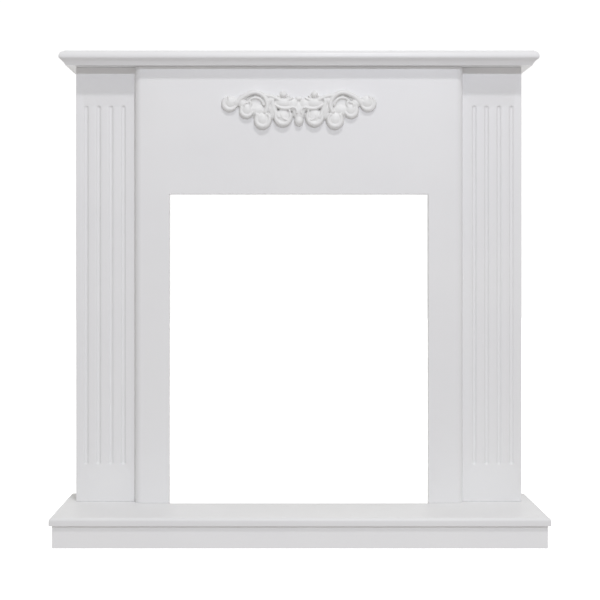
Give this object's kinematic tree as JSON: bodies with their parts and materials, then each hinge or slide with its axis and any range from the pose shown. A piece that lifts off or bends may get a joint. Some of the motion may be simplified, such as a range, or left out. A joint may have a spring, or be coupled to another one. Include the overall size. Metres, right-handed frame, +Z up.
{
  "type": "fireplace mantelpiece",
  "caption": "White mantelpiece for an electric fire: moulded shelf, fluted pilasters, centre panel with a scroll ornament over a rectangular opening, low hearth on a plinth.",
  "frame": {"origin": "on the floor, at the middle of the bounding box", "axes": "+Z up, the front faces -Y, the wall side is +Y, +X to the right seen from the front"},
  "size_m": [0.958, 0.32, 0.965],
  "materials": {
    "white_board": "fibreboard under a satin white film",
    "white_casting": "cast, painted soft white"
  },
  "bodies": {
    "root": {"mantel_shelf": "white_board", "centre_panel": "white_board", "pilaster_left": "white_board", "pilaster_right": "white_board", "side_panel_left": "white_board", "side_panel_right": "white_board", "hearth_slab": "white_board", "plinth_front": "white_board", "plinth_left": "white_board", "plinth_right": "white_board", "scroll_ornament": "white_casting"}
  },
  "joints": []
}
